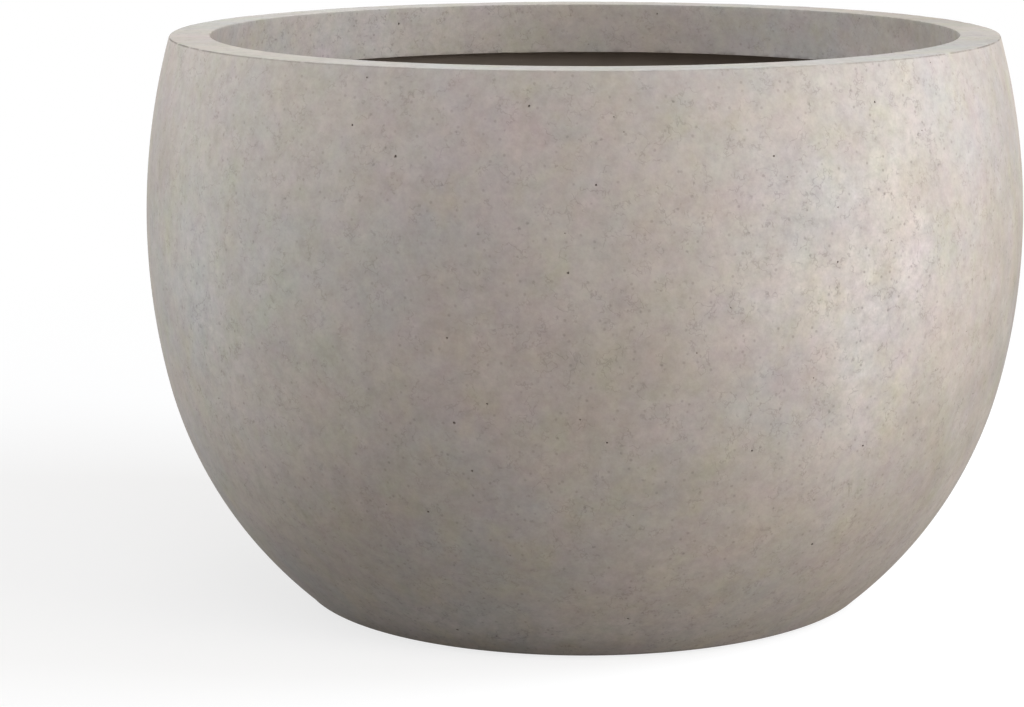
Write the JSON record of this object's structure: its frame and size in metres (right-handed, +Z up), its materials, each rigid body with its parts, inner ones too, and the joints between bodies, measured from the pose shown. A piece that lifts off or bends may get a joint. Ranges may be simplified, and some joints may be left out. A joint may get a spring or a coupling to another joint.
{
  "type": "round concrete planter",
  "caption": "Low round bowl planter of pale cast concrete with a thick flat rim, a brown waterproof lining, a drain closed by a pull-out plug, and foot pads.",
  "frame": {"origin": "on the floor under the bowl's centre, at the lowest face of the foot pads", "axes": "+Z up along the bowl's axis; X and Y run through the foot pads"},
  "size_m": [0.6, 0.5999, 0.388],
  "materials": {
    "concrete": "matte",
    "lining": "matte",
    "sleeve_plastic": "satin",
    "plug_rubber": "matte",
    "foot_rubber": "matte"
  },
  "bodies": {
    "bowl": {"bowl_shell": "concrete", "inner_lining": "lining", "drain_sleeve": "sleeve_plastic", "foot_pad_1": "foot_rubber", "foot_pad_2": "foot_rubber", "foot_pad_3": "foot_rubber", "foot_pad_4": "foot_rubber"},
    "plug": {"drain_plug": "plug_rubber"}
  },
  "joints": [
    {"name": "plug_pull", "type": "slide", "parent": "bowl", "child": "plug", "axis": [0, 0, 1], "range_m": [0, 0.4]}
  ]
}
